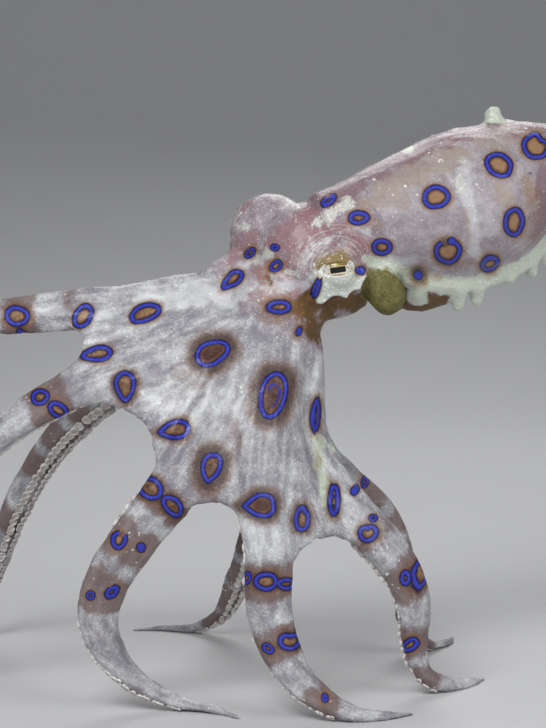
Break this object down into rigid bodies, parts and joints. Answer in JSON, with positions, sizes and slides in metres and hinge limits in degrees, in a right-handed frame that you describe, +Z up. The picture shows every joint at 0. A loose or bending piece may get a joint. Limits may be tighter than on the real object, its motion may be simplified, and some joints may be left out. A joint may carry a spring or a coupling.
{
  "type": "octopus",
  "caption": "Life-size still model of a small ringed octopus standing on its arms, one arm reaching out, with its mantle raised behind the head.",
  "frame": {"origin": "on the floor under the middle of the model's bounding box", "axes": "+Z up; +X towards the animal's mantle, along the model's length; +Y away from the side that faces the viewer, so the animal's left side faces -Y"},
  "size_m": [0.1341, 0.0757, 0.0987],
  "materials": {
    "skin_pale": "moist pale lilac-grey skin with white flecks, bright blue rings and brown halos",
    "skin_mantle": "moist lilac to mauve skin, paler on the sides, with blue rings",
    "skin_web": "thin moist skin between the arms, pale, with blue rings",
    "skin_olive": "moist olive skin with fine dots",
    "eye": "wet speckled iris with a black bar-shaped pupil"
  },
  "bodies": {
    "root": {"mantle": "skin_mantle", "head": "skin_mantle", "mouth_ring": "skin_pale", "funnel": "skin_olive", "eye_left": "eye", "eye_right": "eye", "arm_left_1_base": "skin_pale", "arm_left_1_middle": "skin_pale", "arm_left_1_tip": "skin_pale", "arm_left_2_base": "skin_pale", "arm_left_2_middle": "skin_pale", "arm_left_2_tip": "skin_pale", "arm_left_3_base": "skin_pale", "arm_left_3_middle": "skin_pale", "arm_left_3_tip": "skin_pale", "arm_left_4_base": "skin_pale", "arm_left_4_middle": "skin_pale", "arm_left_4_tip": "skin_pale", "arm_right_1_base": "skin_pale", "arm_right_1_middle": "skin_pale", "arm_right_1_tip": "skin_pale", "arm_right_2_base": "skin_pale", "arm_right_2_middle": "skin_pale", "arm_right_2_tip": "skin_pale", "arm_right_3_base": "skin_pale", "arm_right_3_middle": "skin_pale", "arm_right_3_tip": "skin_pale", "arm_right_4_base": "skin_pale", "arm_right_4_middle": "skin_pale", "arm_right_4_tip": "skin_pale", "web_dorsal": "skin_web", "web_left_1": "skin_web", "web_left_2": "skin_web", "web_left_3": "skin_web", "web_ventral": "skin_web", "web_right_3": "skin_web", "web_right_2": "skin_web", "web_right_1": "skin_web"}
  },
  "joints": []
}
